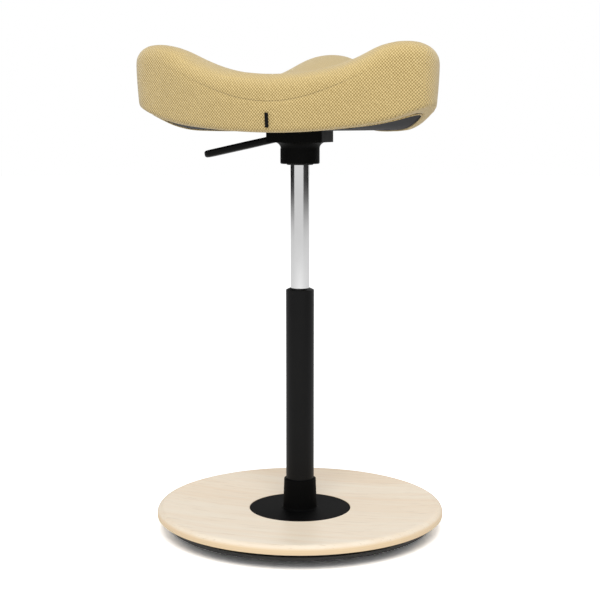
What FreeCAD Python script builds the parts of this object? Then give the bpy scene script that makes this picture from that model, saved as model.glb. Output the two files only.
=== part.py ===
# Saddle stool: wooden disc base on a rocker, gas-lift column, swivel saddle seat.
# Millimetres. The origin is on the floor under the column's axis, +Z is up,
# +Y points to the seat's nose and the lift lever lies along -X.
import FreeCAD, Part
import math
import os

V = FreeCAD.Vector

# Rocker and tread under the base
flat_radius = 55.0
rocker_radius = 200.0
rocker_rise = 12.0
rocker_edge = 5.0
tread_radius = 150.0
tread_thickness = 2.5
rocker_screw_count = 8
rocker_screw_circle = 172.0
rocker_screw_length = 13.0

# Wooden disc
disc_radius = 216.0
disc_hub_thickness = 14.0
disc_dish = 7.0
disc_top_round = 9.0
disc_under_width = 24.0
disc_under_rise = 8.5

# Steel hub plate and its conical socket
hub_radius = 76.5
hub_thickness = 5.0
hub_bore_radius = 12.0
hub_bolt_circle = 58.0
hub_bolt_count = 4
hub_bolt_depth = 4.0
socket_height = 46.0
socket_top_radius = 24.0
socket_foot_radius = 25.5
socket_weld = 3.0

# Column tube and what guides and carries the lift inside it
column_radius = 21.0
column_wall = 2.0
column_length = 333.0
floor_thickness = 4.0
bush_length = 70.0
bush_rim_height = 3.0
bush_crest_radius = 15.8
race_radius = 14.0
race_thickness = 2.0
ball_radius = 2.0
ball_count = 8
ball_circle = 10.0
cage_thickness = 2.0
bump_length = 10.0

# Piston rod and piston
rod_radius = 5.0
rod_neck_radius = 4.0
rod_stud_radius = 3.5
piston_height = 12.0
seal_height = 3.0
seal_depth = 1.5
clip_thickness = 1.2
washer_thickness = 1.5

# Gas cylinder
cylinder_radius = 14.0
cylinder_wall = 1.5
cylinder_in_column = 112.0
raise_travel = 80.0
gland_height = 18.0
crimp = 1.5
valve_height = 32.0
taper_loss = 0.5
button_radius = 4.0
button_height = 4.0
button_stroke = 4.0
stem_radius = 2.4
stem_length = 19.0

# Seat mechanism: plate, boss and collar
exposed_chrome = 187.0
boss_radius = 29.0
boss_height = 31.5
boss_cove = 9.0
boss_round = 2.0
plate_width = 84.0
plate_length = 80.0
plate_thickness = 21.5
plate_corner = 8.0
collar_radius = 19.5
collar_lip = 1.5
collar_sleeve = 5.0
slot_width = 26.0
slot_depth = 18.0
slot_end = 14.0
plate_bolt_x = 33.0
plate_bolt_y = 31.0
plate_bolt_radius = 3.0
plate_bolt_head_radius = 5.5
plate_bolt_head = 5.0

# Lift lever
pivot_x = -33.0
pivot_drop = 15.5
pivot_radius = 2.5
pivot_length = 44.0
lever_droop = 12.3
lever_reach = 117.0
lever_root = 10.5
lever_tip = 10.2
lever_edge_round = 3.6
lever_neck_width = 22.0
lever_paddle_width = 30.0
lever_eye_radius = 6.5
finger_reach = 6.5
finger_thickness = 6.0

# Seat outline seen from above: wing circles, nose circle, rear and side arcs
wing_x = 170.0
wing_y = -80.0
wing_radius = 51.0
nose_y = 120.0
nose_radius = 95.0
rear_y = -168.0
side_radius = 1200.0

# Seat skin, board and shell
cover_thickness = 2.0
top_round = 23.0
bottom_round = 9.0
hem = 25.0
shell_thickness = 2.8
shell_recess = 2.0
board_inset = 36.0
board_thickness = 12.0
mount_flat_depth = 2.0
insert_radius = 4.5
insert_flange_radius = 9.0
insert_flange = 1.5
shell_screw_count = 7
shell_screw_inset = 14.0
shell_screw_length = 10.0
shell_screw_head = 1.8
shell_screw_head_radius = 4.5
shell_screw_sink = 1.6
tag_width = 4.6
tag_shift = -2.0
tag_height = 20.0
tag_thickness = 1.2
tag_lift = 7.5

# Named clearances
press_gap = 0.02
run_gap = 0.05
skin_gap = 0.2
hole_gap = 0.3
shell_gap = 1.0
mechanism_gap = 3.0

# Saddle form, above the seat's lowest point: for each place along the seat, the
# height on the centre line, then the shoulder's and the outer point's place and height
top_rows = [
    (-185.0, 77.0, 128.0, 107.0, 250.0, 107.0),
    (-110.0, 77.0, 128.0, 109.0, 250.0, 107.0),
    (-40.0, 73.0, 120.0, 93.0, 235.0, 97.0),
    (20.0, 75.0, 105.0, 79.0, 215.0, 67.0),
    (80.0, 88.0, 78.0, 80.0, 185.0, 36.0),
    (140.0, 109.0, 56.0, 96.0, 150.0, 24.0),
    (190.0, 121.0, 46.0, 111.0, 130.0, 30.0),
    (240.0, 119.0, 44.0, 108.0, 125.0, 30.0),
]
bottom_rows = [
    (-185.0, 0.0, 110.0, 9.5, 250.0, 66.0),
    (-130.0, 0.0, 120.0, 8.5, 250.0, 68.0),
    (-75.0, 0.0, 128.0, 3.5, 245.0, 64.0),
    (-10.0, 0.0, 150.0, 2.0, 225.0, 42.0),
    (60.0, 0.5, 115.0, 1.0, 200.0, 30.0),
    (140.0, 6.0, 75.0, 6.5, 150.0, 24.0),
    (190.0, 12.0, 55.0, 12.5, 130.0, 28.0),
    (240.0, 17.0, 45.0, 17.5, 125.0, 32.0),
]

# Seat walls: how far they are drawn in at each height above the seat's lowest point
wall_rows = [
    (-60.0, 14.0),
    (0.0, 9.0),
    (20.0, 6.0),
    (42.0, 3.6),
    (66.0, 1.6),
    (90.0, 0.4),
    (200.0, 0.0),
]

# Heights that follow from the sizes above
disc_bottom = rocker_rise + rocker_edge
hub_top = disc_bottom + disc_hub_thickness
hub_bottom = hub_top - hub_thickness
disc_rim_top = hub_top + disc_dish
column_top = hub_top + column_length
floor_top = hub_top + floor_thickness
balls_bottom = floor_top + race_thickness
balls_top = balls_bottom + 2 * ball_radius
shoulder = balls_top + race_thickness
boss_bottom = column_top + exposed_chrome
plate_bottom = boss_bottom + boss_height
plate_top = plate_bottom + plate_thickness
slot_floor = plate_top - slot_depth
cylinder_bottom = column_top - cylinder_in_column
cylinder_top = slot_floor - 1.0
piston_bottom = cylinder_bottom + raise_travel + gland_height + 2.0
piston_top = piston_bottom + piston_height
button_top = cylinder_top + button_height + 0.5
pivot_z = plate_top - pivot_drop
seat_bottom = plate_top - mount_flat_depth - skin_gap - shell_thickness - shell_recess
cylinder_bore = cylinder_radius - cylinder_wall


def cylinder(radius, z0, z1, x=0.0, y=0.0):
    return Part.makeCylinder(radius, z1 - z0, V(x, y, z0))


def cone(radius0, radius1, z0, z1, x=0.0, y=0.0):
    return Part.makeCone(radius0, radius1, z1 - z0, V(x, y, z0))


def ring(outer, inner, z0, z1):
    return cylinder(outer, z0, z1).cut(cylinder(inner, z0, z1))


def box(x0, x1, y0, y1, z0, z1):
    return Part.makeBox(x1 - x0, y1 - y0, z1 - z0, V(x0, y0, z0))


def line(p, q):
    return Part.LineSegment(V(p[0], 0, p[1]), V(q[0], 0, q[1])).toShape()


def bow(p, m, q):
    return Part.Arc(V(p[0], 0, p[1]), V(m[0], 0, m[1]), V(q[0], 0, q[1])).toShape()


def turned(edges):
    """Solid of revolution about Z from a closed (radius, height) profile."""
    return Part.Face(Part.Wire(edges)).revolve(V(0, 0, 0), V(0, 0, 1), 360)


def turned_polygon(points):
    closed = points + points[:1]
    return turned([line(p, q) for p, q in zip(closed, closed[1:])])


def on_circle(count, radius, start=0.0):
    for i in range(count):
        a = math.radians(start + 360.0 * i / count)
        yield radius * math.cos(a), radius * math.sin(a)


def upright(edge):
    ends = edge.Vertexes
    return abs(ends[0].X - ends[-1].X) < 0.01 and abs(ends[0].Y - ends[-1].Y) < 0.01


def rounded_plate(width, length, corner, z0, z1):
    plate = box(-width / 2, width / 2, -length / 2, length / 2, z0, z1)
    return plate.makeFillet(corner, [e for e in plate.Edges if upright(e)])


def cap_screw(x, y, z0, head_radius, head, shank_radius, length):
    """Socket-head screw with its head at z0 and its shank pointing up."""
    body = cylinder(head_radius, z0, z0 + head, x, y)
    body = body.fuse(cylinder(shank_radius, z0 + head, z0 + head + length, x, y))
    return body.cut(cylinder(0.5 * head_radius, z0, z0 + 0.6 * head, x, y))


def save(name, shape):
    os.makedirs("parts", exist_ok=True)
    shape.exportStep("parts/" + name + ".step")
    print(name, len(shape.Solids), "solids, volume", round(shape.Volume), "valid", shape.isValid())


# Rocker: flat in the middle, then one upward arc that the stool rolls on
roll_radius = ((rocker_radius - flat_radius) ** 2 + rocker_rise ** 2) / (2 * rocker_rise)


def roll_height(radius):
    return roll_radius - math.sqrt(roll_radius ** 2 - (radius - flat_radius) ** 2)


def roll_arc(r0, r1, lift):
    middle = (r0 + r1) / 2
    ends = [(r, roll_height(r) + lift) for r in (r0, middle, r1)]
    return bow(ends[0], ends[1], ends[2])


def rocker_screw_seat():
    return roll_height(rocker_screw_circle) + 3.0


def make_rocker():
    step = tread_radius + skin_gap
    tread_top = tread_thickness + press_gap
    body = turned([
        line((0, tread_top), (flat_radius, tread_top)),
        roll_arc(flat_radius, step, tread_top),
        line((step, roll_height(step) + tread_top), (step, roll_height(step))),
        roll_arc(step, rocker_radius, 0.0),
        line((rocker_radius, rocker_rise), (rocker_radius, disc_bottom)),
        line((rocker_radius, disc_bottom), (0, disc_bottom)),
        line((0, disc_bottom), (0, tread_top)),
    ])
    for x, y in on_circle(rocker_screw_count, rocker_screw_circle):
        body = body.cut(cylinder(4.5, 0, rocker_screw_seat(), x, y))
        body = body.cut(cylinder(2.3, 0, disc_bottom + 1, x, y))
    return body


def make_tread():
    return turned([
        line((0, 0), (flat_radius, 0)),
        roll_arc(flat_radius, tread_radius, 0.0),
        line((tread_radius, roll_height(tread_radius)),
             (tread_radius, roll_height(tread_radius) + tread_thickness)),
        roll_arc(tread_radius, flat_radius, tread_thickness),
        line((flat_radius, tread_thickness), (0, tread_thickness)),
        line((0, tread_thickness), (0, 0)),
    ])


def make_rocker_screws():
    head = 2.0
    z0 = rocker_screw_seat() - head
    return Part.makeCompound([cap_screw(x, y, z0, 4.2, head, 2.0, rocker_screw_length)
                              for x, y in on_circle(rocker_screw_count, rocker_screw_circle)])


# Wooden disc: dished top, rounded rim, recess for the hub plate
def make_disc():
    recess = hub_radius + hole_gap
    shore = disc_radius - disc_top_round
    swell = (recess + 0.5 * (shore - recess), hub_top + 0.27 * disc_dish)
    turn = disc_top_round * (1 - math.sqrt(0.5))
    body = turned([
        line((hub_bore_radius, disc_bottom), (disc_radius - disc_under_width, disc_bottom)),
        line((disc_radius - disc_under_width, disc_bottom),
             (disc_radius, disc_bottom + disc_under_rise)),
        line((disc_radius, disc_bottom + disc_under_rise),
             (disc_radius, disc_rim_top - disc_top_round)),
        bow((disc_radius, disc_rim_top - disc_top_round),
            (disc_radius - turn, disc_rim_top - turn), (shore, disc_rim_top)),
        bow((shore, disc_rim_top), swell, (recess, hub_top)),
        line((recess, hub_top), (recess, hub_bottom)),
        line((recess, hub_bottom), (hub_bore_radius, hub_bottom)),
        line((hub_bore_radius, hub_bottom), (hub_bore_radius, disc_bottom)),
    ])
    for x, y in on_circle(hub_bolt_count, hub_bolt_circle, 45.0):
        body = body.cut(cone(8.2, 4.2, disc_bottom, disc_bottom + 4.0, x, y))
        body = body.cut(cylinder(4.2, disc_bottom, hub_bottom + 1, x, y))
    pilot_top = rocker_screw_seat() + rocker_screw_length + 1.0
    for x, y in on_circle(rocker_screw_count, rocker_screw_circle):
        body = body.cut(cylinder(2.0 + press_gap, disc_bottom - 1, pilot_top, x, y))
    return body


def make_hub_plate():
    chamfer = 0.8
    body = turned_polygon([
        (hub_bore_radius, hub_bottom), (hub_radius, hub_bottom),
        (hub_radius, hub_top - chamfer), (hub_radius - chamfer, hub_top),
        (hub_bore_radius, hub_top),
    ])
    for x, y in on_circle(hub_bolt_count, hub_bolt_circle, 45.0):
        body = body.cut(cylinder(4.0 + press_gap, hub_bottom - 1, hub_bottom + hub_bolt_depth, x, y))
    return body


def make_hub_bolts():
    bolts = []
    for x, y in on_circle(hub_bolt_count, hub_bolt_circle, 45.0):
        bolt = cone(8.0, 4.0, disc_bottom, disc_bottom + 4.0, x, y)
        bolt = bolt.fuse(cylinder(4.0, disc_bottom + 4.0, hub_bottom + hub_bolt_depth - 0.5, x, y))
        bolts.append(bolt.cut(cylinder(2.5, disc_bottom, disc_bottom + 2.5, x, y)))
    return Part.makeCompound(bolts)


# Conical socket welded to the plate, with the column tube standing in it
def make_socket():
    top = hub_top + socket_height
    bore = column_radius + press_gap
    foot = socket_foot_radius + socket_weld
    turn = socket_weld * (1 - math.sqrt(0.5))
    return turned([
        line((bore, hub_top), (foot, hub_top)),
        bow((foot, hub_top), (socket_foot_radius + turn, hub_top + turn),
            (socket_foot_radius, hub_top + socket_weld)),
        line((socket_foot_radius, hub_top + socket_weld), (socket_top_radius, top - 1.0)),
        line((socket_top_radius, top - 1.0), (socket_top_radius - 1.0, top)),
        line((socket_top_radius - 1.0, top), (bore, top)),
        line((bore, top), (bore, hub_top)),
    ])


def make_guide_bush():
    seat = column_radius - column_wall - press_gap
    bore = cylinder_radius + run_gap
    return turned_polygon([
        (bore, column_top - bush_length), (seat, column_top - bush_length), (seat, column_top),
        (column_radius - 0.3, column_top), (column_radius - 0.3, column_top + 0.6),
        (bush_crest_radius, column_top + bush_rim_height), (bore, column_top + bush_rim_height),
    ])


def make_column_floor():
    return ring(column_radius - column_wall - press_gap, rod_neck_radius + run_gap, hub_top, floor_top)


# Thrust bearing that lets the lift swivel on the column's floor
def make_balls():
    middle = balls_bottom + ball_radius
    return Part.makeCompound([Part.makeSphere(ball_radius - press_gap, V(x, y, middle))
                              for x, y in on_circle(ball_count, ball_circle)])


def make_cage():
    middle = balls_bottom + ball_radius
    cage = ring(race_radius - 1.0, ball_circle - ball_radius - 1.0,
                middle - cage_thickness / 2, middle + cage_thickness / 2)
    for x, y in on_circle(ball_count, ball_circle):
        cage = cage.cut(cylinder(ball_radius + run_gap, balls_bottom, balls_top, x, y))
    return cage


def make_rod():
    end = hub_top - washer_thickness - clip_thickness - 1.8
    groove = hub_top - washer_thickness - clip_thickness
    rod = cylinder(rod_neck_radius, end, shoulder)
    rod = rod.cut(ring(rod_neck_radius + 1, rod_neck_radius - 1, groove, groove + clip_thickness))
    rod = rod.fuse(cylinder(rod_radius, shoulder, piston_bottom))
    rod = rod.fuse(cylinder(rod_stud_radius, piston_bottom, piston_top))
    return rod.fuse(cylinder(rod_radius, piston_top, piston_top + 2.0)).removeSplitter()


def make_clip():
    groove = hub_top - washer_thickness - clip_thickness
    clip = ring(7.0, rod_neck_radius - 1 + press_gap, groove, groove + clip_thickness)
    return clip.cut(box(0, 8, -2.2, 2.2, groove, groove + clip_thickness))


def seal_bottom():
    return piston_bottom + (piston_height - seal_height) / 2


def make_piston():
    radius = cylinder_bore - 0.2
    body = ring(radius, rod_stud_radius + press_gap, piston_bottom, piston_top)
    groove = radius - seal_depth
    return body.cut(ring(radius + 1, groove, seal_bottom(), seal_bottom() + seal_height))


def make_seal():
    inner = cylinder_bore - 0.2 - seal_depth + press_gap
    return ring(cylinder_bore - run_gap, inner, seal_bottom(), seal_bottom() + seal_height)


# Gas cylinder: chrome tube, crimped below, with a slight taper inside the boss
def taper_radius(z):
    share = (z - boss_bottom) / (cylinder_top - boss_bottom)
    return cylinder_radius - taper_loss * share


def make_gas_cylinder():
    return turned_polygon([
        (cylinder_bore - crimp, cylinder_bottom), (cylinder_radius, cylinder_bottom),
        (cylinder_radius, boss_bottom), (taper_radius(cylinder_top), cylinder_top),
        (cylinder_bore, cylinder_top), (cylinder_bore, cylinder_bottom + crimp),
        (cylinder_bore - crimp, cylinder_bottom + crimp),
    ])


def make_valve():
    body = cylinder(cylinder_bore - press_gap, cylinder_top - valve_height, cylinder_top)
    body = body.cut(cylinder(button_radius + 0.6, cylinder_top - button_stroke - 0.6, cylinder_top))
    stem_end = cylinder_top + 0.5 - stem_length - button_stroke - 1.0
    return body.cut(cylinder(stem_radius + run_gap, stem_end, cylinder_top))


def make_button():
    base = button_top - button_height
    chamfer = 0.25 * button_height
    return turned_polygon([
        (0, base - stem_length), (stem_radius, base - stem_length), (stem_radius, base),
        (button_radius, base), (button_radius, button_top - chamfer),
        (button_radius - chamfer, button_top), (0, button_top),
    ])


# Seat mechanism: a cast plate with a round boss that takes the cylinder's taper
def make_mechanism():
    flare = boss_radius + boss_cove
    turn = boss_cove * (1 - math.sqrt(0.5))
    edge = boss_round * (1 - math.sqrt(0.5))
    bore = cylinder_radius + press_gap
    boss = turned([
        line((0, boss_bottom), (boss_radius - boss_round, boss_bottom)),
        bow((boss_radius - boss_round, boss_bottom), (boss_radius - edge, boss_bottom + edge),
            (boss_radius, boss_bottom + boss_round)),
        line((boss_radius, boss_bottom + boss_round), (boss_radius, plate_bottom - boss_cove)),
        bow((boss_radius, plate_bottom - boss_cove), (boss_radius + turn, plate_bottom - turn),
            (flare, plate_bottom)),
        line((flare, plate_bottom), (flare, plate_bottom + 1.0)),
        line((flare, plate_bottom + 1.0), (0, plate_bottom + 1.0)),
        line((0, plate_bottom + 1.0), (0, boss_bottom)),
    ])
    plate = rounded_plate(plate_width, plate_length, plate_corner, plate_bottom, plate_top)
    body = boss.fuse(plate).removeSplitter()
    body = body.cut(cone(bore, bore - taper_loss, boss_bottom, slot_floor + 0.01))
    body = body.cut(cylinder(collar_radius - 2.5 + press_gap, boss_bottom, boss_bottom + collar_sleeve))
    wall = -plate_width / 2 - 1.0
    half = slot_width / 2
    body = body.cut(box(wall, slot_end, -half, half, slot_floor, plate_top))
    notch_end = pivot_x + lever_eye_radius + 1.5
    body = body.cut(box(wall, notch_end, -half, half, plate_bottom - boss_cove, plate_top))
    pin = Part.makeCylinder(pivot_radius + press_gap, pivot_length, V(pivot_x, -pivot_length / 2, pivot_z),
                            V(0, 1, 0))
    body = body.cut(pin)
    for x, y in plate_bolts():
        body = body.cut(cylinder(plate_bolt_head_radius + 0.5, plate_bottom, bolt_seat(), x, y))
        body = body.cut(cylinder(plate_bolt_radius + hole_gap, plate_bottom, plate_top, x, y))
    return body


def plate_bolts():
    return [(sx * plate_bolt_x, sy * plate_bolt_y) for sx in (-1, 1) for sy in (-1, 1)]


def bolt_seat():
    return plate_bottom + plate_bolt_head + 1.5


def insert_top():
    return seat_bottom + board_high - 1.0


def make_plate_bolts():
    length = insert_top() - bolt_seat() - 1.0
    return Part.makeCompound([cap_screw(x, y, bolt_seat() - plate_bolt_head, plate_bolt_head_radius,
                                        plate_bolt_head, plate_bolt_radius, length)
                              for x, y in plate_bolts()])


def make_collar():
    bore = cylinder_radius + hole_gap
    sleeve = collar_radius - 2.5
    return turned_polygon([
        (bore, boss_bottom - collar_lip), (collar_radius - 0.6, boss_bottom - collar_lip),
        (collar_radius, boss_bottom - collar_lip + 0.6), (collar_radius, boss_bottom),
        (sleeve, boss_bottom), (sleeve, boss_bottom + collar_sleeve),
        (bore, boss_bottom + collar_sleeve),
    ])


# Lift lever: an eye on the pivot pin, a finger over the release button and a paddle
def make_lever():
    half_neck = lever_neck_width / 2
    half_paddle = lever_paddle_width / 2
    tip = pivot_x - lever_reach
    side = Part.Wire([
        line((pivot_x, pivot_z + lever_root / 2), (tip, pivot_z + lever_tip / 2)),
        line((tip, pivot_z + lever_tip / 2), (tip, pivot_z - lever_tip / 2)),
        line((tip, pivot_z - lever_tip / 2), (pivot_x, pivot_z - lever_root / 2)),
        line((pivot_x, pivot_z - lever_root / 2), (pivot_x, pivot_z + lever_root / 2)),
    ])
    bar = Part.Face(side).extrude(V(0, lever_paddle_width + 4, 0))
    bar.translate(V(0, -(lever_paddle_width + 4) / 2, 0))
    flare = -plate_width / 2 - 12.0
    full = flare - 22.0
    low = pivot_z - lever_root
    corners = [(pivot_x, -half_neck), (flare, -half_neck), (full, -half_paddle), (tip, -half_paddle),
               (tip, half_paddle), (full, half_paddle), (flare, half_neck), (pivot_x, half_neck)]
    points = [V(x, y, low) for x, y in corners]
    plan = Part.Face(Part.makePolygon(points + points[:1])).extrude(V(0, 0, 2 * lever_root))
    ends = [e for e in plan.Edges if upright(e) and e.CenterOfMass.x < tip + 0.1]
    plan = plan.makeFillet(half_paddle - 1.0, ends)
    paddle = bar.common(plan)
    rim = [e for e in paddle.Edges if e.CenterOfMass.x < pivot_x - 4.0 and not upright(e)]
    paddle = paddle.makeFillet(lever_edge_round, rim)
    paddle.rotate(V(pivot_x, 0, pivot_z), V(0, 1, 0), -lever_droop)
    eye = Part.makeCylinder(lever_eye_radius, lever_neck_width, V(pivot_x, -half_neck, pivot_z), V(0, 1, 0))
    under = button_top + 0.1
    finger = box(pivot_x, finger_reach, -half_neck, half_neck, under, under + finger_thickness)
    body = paddle.fuse(eye).fuse(finger)
    bore = Part.makeCylinder(pivot_radius + run_gap, lever_neck_width + 2,
                             V(pivot_x, -half_neck - 1, pivot_z), V(0, 1, 0))
    return body.cut(bore)


def make_pivot_pin():
    return Part.makeCylinder(pivot_radius, pivot_length, V(pivot_x, -pivot_length / 2, pivot_z), V(0, 1, 0))


# Seat outline: rear arc, wing arcs, side arcs and nose arc, all tangent
def outline(inset, z):
    wing, nose, side = wing_radius - inset, nose_radius - inset, side_radius + inset
    drop = wing_y - rear_y
    rear = (wing_x ** 2 + drop ** 2 - wing_radius ** 2) / (2 * (drop - wing_radius))
    rear_mid = rear_y + rear
    to_wing = math.hypot(wing_x, wing_y - rear_mid)
    p = (wing_x + wing * wing_x / to_wing, wing_y + wing * (wing_y - rear_mid) / to_wing)
    span = math.hypot(wing_x, nose_y - wing_y)
    along = ((side + wing) ** 2 - (side + nose) ** 2 + span ** 2) / (2 * span)
    across = math.sqrt((side + wing) ** 2 - along ** 2)
    ex, ey = -wing_x / span, (nose_y - wing_y) / span
    cx, cy = wing_x + ex * along + ey * across, wing_y + ey * along - ex * across
    q = towards((wing_x, wing_y), (cx, cy), wing)
    r = towards((0.0, nose_y), (cx, cy), nose)
    wing_mid = towards((wing_x, wing_y), ((p[0] + q[0]) / 2, (p[1] + q[1]) / 2), wing)
    side_mid = towards((cx, cy), ((q[0] + r[0]) / 2, (q[1] + r[1]) / 2), side)
    rear_point, nose_point = (0.0, rear_y + inset), (0.0, nose_y + nose)
    arcs = [(mirror(p), rear_point, p), (p, wing_mid, q), (q, side_mid, r), (r, nose_point, mirror(r)),
            (mirror(r), mirror(side_mid), mirror(q)), (mirror(q), mirror(wing_mid), mirror(p))]
    return Part.Wire([Part.Arc(*[V(x, y, z) for x, y in arc]).toShape() for arc in arcs])


def towards(centre, aim, distance):
    dx, dy = aim[0] - centre[0], aim[1] - centre[1]
    scale = distance / math.hypot(dx, dy)
    return (centre[0] + dx * scale, centre[1] + dy * scale)


def mirror(point):
    return (-point[0], point[1])


def prism(inset, z0, z1):
    return Part.Face(outline(inset, z0)).extrude(V(0, 0, z1 - z0))


# Saddle surfaces: a loft through sections of three tangent arcs, closed far above
def section(row, lift, far):
    y, centre, xi, shoulder_height, xo, outer = row
    zc, zi, zo = centre + lift, shoulder_height + lift, outer + lift
    leave = 2 * math.atan2(zi - zc, xi)
    run, rise = xo - xi, zo - zi
    chord = math.hypot(run, rise)
    sag = chord / 2 * math.tan((math.atan2(rise, run) - leave) / 2)
    middle = (xi + run / 2 + sag * rise / chord, zi + rise / 2 - sag * run / chord)
    arcs = [((-xo, zo), mirror(middle), (-xi, zi)), ((-xi, zi), (0.0, zc), (xi, zi)),
            ((xi, zi), middle, (xo, zo))]
    edges = [Part.Arc(*[V(x, y, z) for x, z in arc]).toShape() for arc in arcs]
    corners = [(xo, zo), (xo, far), (-xo, far), (-xo, zo)]
    edges += [Part.LineSegment(V(a, y, b), V(c, y, d)).toShape()
              for (a, b), (c, d) in zip(corners, corners[1:])]
    return Part.Wire(edges)


def above(rows, lift):
    """Everything over a saddle surface that is raised by lift."""
    far = seat_bottom + 400.0
    return Part.makeLoft([section(row, seat_bottom + lift, far) for row in rows], True, False)


def rim_edges(shape, upper):
    middle = seat_bottom + 36.0
    chosen = []
    for edge in shape.Edges:
        faces = shape.ancestorsOfType(edge, Part.Face)
        walls = [is_wall(face) for face in faces]
        if len(walls) == 2 and walls[0] != walls[1] and (edge.CenterOfMass.z > middle) == upper:
            chosen.append(edge)
    return chosen


def is_wall(face):
    u0, u1, v0, v1 = face.ParameterRange
    return abs(face.normalAt((u0 + u1) / 2, (v0 + v1) / 2).z) < 0.25


def leaning_wall(inset):
    """The seat's side walls, which curve in towards the underside."""
    wires = [outline(inset + drawn, seat_bottom + height) for height, drawn in wall_rows]
    return Part.makeLoft(wires, True, False)


def cushion(inset):
    """The padded seat's outer form, drawn in by inset on every side."""
    body = leaning_wall(inset)
    body = body.cut(above(top_rows, -inset)).common(above(bottom_rows, inset)).Solids[0]
    body = body.makeFillet(top_round - inset, rim_edges(body, True))
    return body.makeFillet(bottom_round - inset, rim_edges(body, False))


def under_layer(inset, bottom, top):
    """A layer that follows the seat's underside, between two heights over it."""
    body = prism(inset, seat_bottom - 60.0, seat_bottom + 200.0)
    return body.common(above(bottom_rows, bottom)).cut(above(bottom_rows, top)).Solids[0]


board_low = shell_recess + shell_thickness + skin_gap
board_high = board_low + board_thickness


def make_board():
    body = under_layer(board_inset, board_low, board_high)
    half_x, half_y = plate_width / 2 + 2.0, plate_length / 2 + 2.0
    body = body.cut(box(-half_x, half_x, -half_y, half_y, seat_bottom - 10.0, plate_top))
    for x, y in plate_bolts():
        body = body.cut(cylinder(insert_radius + press_gap, plate_top - 1, insert_top(), x, y))
        body = body.cut(cylinder(insert_flange_radius + hole_gap, insert_top(), insert_top() + 9.0, x, y))
    return body


def make_inserts():
    nuts = []
    for x, y in plate_bolts():
        nut = cylinder(insert_radius, plate_top, insert_top(), x, y)
        nut = nut.fuse(cylinder(insert_flange_radius, insert_top(), insert_top() + insert_flange, x, y))
        nuts.append(nut.cut(cylinder(plate_bolt_radius + press_gap, plate_top, insert_top() - 0.5, x, y)))
    return Part.makeCompound(nuts)


def make_shell(screws):
    body = under_layer(hem + shell_gap, shell_recess, shell_recess + shell_thickness)
    width, length = plate_width + 2 * mechanism_gap, plate_length + 2 * mechanism_gap
    body = body.cut(rounded_plate(width, length, plate_corner, seat_bottom - 20.0, seat_bottom + 20.0))
    for x, y in screws:
        body = body.cut(cylinder(2.3, seat_bottom - 20.0, seat_bottom + 40.0, x, y))
    return body


def shell_screw_places():
    """Evenly spaced along an outline drawn in from the board's edge."""
    wire = outline(board_inset + shell_screw_inset, 0.0)
    points = wire.discretize(Number=shell_screw_count + 1)[:-1]
    return [(p.x, p.y) for p in points]


def underside(x, y, solid):
    """Height where an upright line at x, y first meets the solid."""
    probe = Part.LineSegment(V(x, y, seat_bottom - 50.0), V(x, y, seat_bottom + 150.0)).toShape()
    return min(v.Z for v in probe.common(solid).Vertexes)


def make_foam(board):
    body = cushion(cover_thickness + skin_gap)
    body = body.cut(under_layer(hem, -20.0, board_low))
    body = body.cut(under_layer(board_inset - skin_gap, -20.0, board_high + skin_gap))
    for x, y in plate_bolts():
        body = body.cut(cylinder(insert_flange_radius + hole_gap, insert_top() - 1, insert_top() + 3.0, x, y))
    return body


def make_cover(outer):
    body = outer.cut(cushion(cover_thickness))
    return body.cut(prism(hem, seat_bottom - 60.0, seat_bottom + 40.0))


def drawn_in(height):
    """How far the rear wall is drawn in at a height above the seat's lowest point."""
    for (z0, d0), (z1, d1) in zip(wall_rows, wall_rows[1:]):
        if z0 <= height <= z1:
            return d0 + (d1 - d0) * (height - z0) / (z1 - z0)


def make_tag():
    low, high = drawn_in(tag_lift), drawn_in(tag_lift + tag_height)
    tag = box(-tag_width / 2, tag_width / 2, -tag_thickness, 0, 0, tag_height)
    tag.rotate(V(0, 0, 0), V(1, 0, 0), math.degrees(math.atan((low - high) / tag_height)))
    tag.translate(V(tag_shift, rear_y + low - skin_gap, seat_bottom + tag_lift))
    return tag


save("rocker_plate", make_rocker())
save("tread_pad", make_tread())
save("rocker_screws", make_rocker_screws())
save("base_disc", make_disc())
save("hub_plate", make_hub_plate())
save("hub_bolts", make_hub_bolts())
save("column_socket", make_socket())
save("column_tube", ring(column_radius, column_radius - column_wall, hub_top, column_top))
save("column_floor", make_column_floor())
save("guide_bush", make_guide_bush())
save("race_lower", ring(race_radius, rod_neck_radius + hole_gap, floor_top, balls_bottom))
save("thrust_balls", make_balls())
save("ball_cage", make_cage())
save("race_upper", ring(race_radius, rod_neck_radius + press_gap, balls_top, shoulder))
save("bump_rubber", ring(race_radius - 2.0, rod_radius + press_gap, shoulder, shoulder + bump_length))
save("piston_rod", make_rod())
save("rod_washer", ring(9.0, rod_neck_radius + press_gap, hub_top - washer_thickness, hub_top))
save("rod_clip", make_clip())
save("piston", make_piston())
save("piston_seal", make_seal())
save("gas_cylinder", make_gas_cylinder())
save("rod_gland", ring(cylinder_bore - press_gap, rod_radius + run_gap, cylinder_bottom + crimp,
                       cylinder_bottom + gland_height))
save("valve_body", make_valve())
save("release_button", make_button())
save("seat_mechanism", make_mechanism())
save("boss_collar", make_collar())
save("mechanism_bolts", make_plate_bolts())
save("lift_lever", make_lever())
save("lever_pin", make_pivot_pin())

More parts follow.
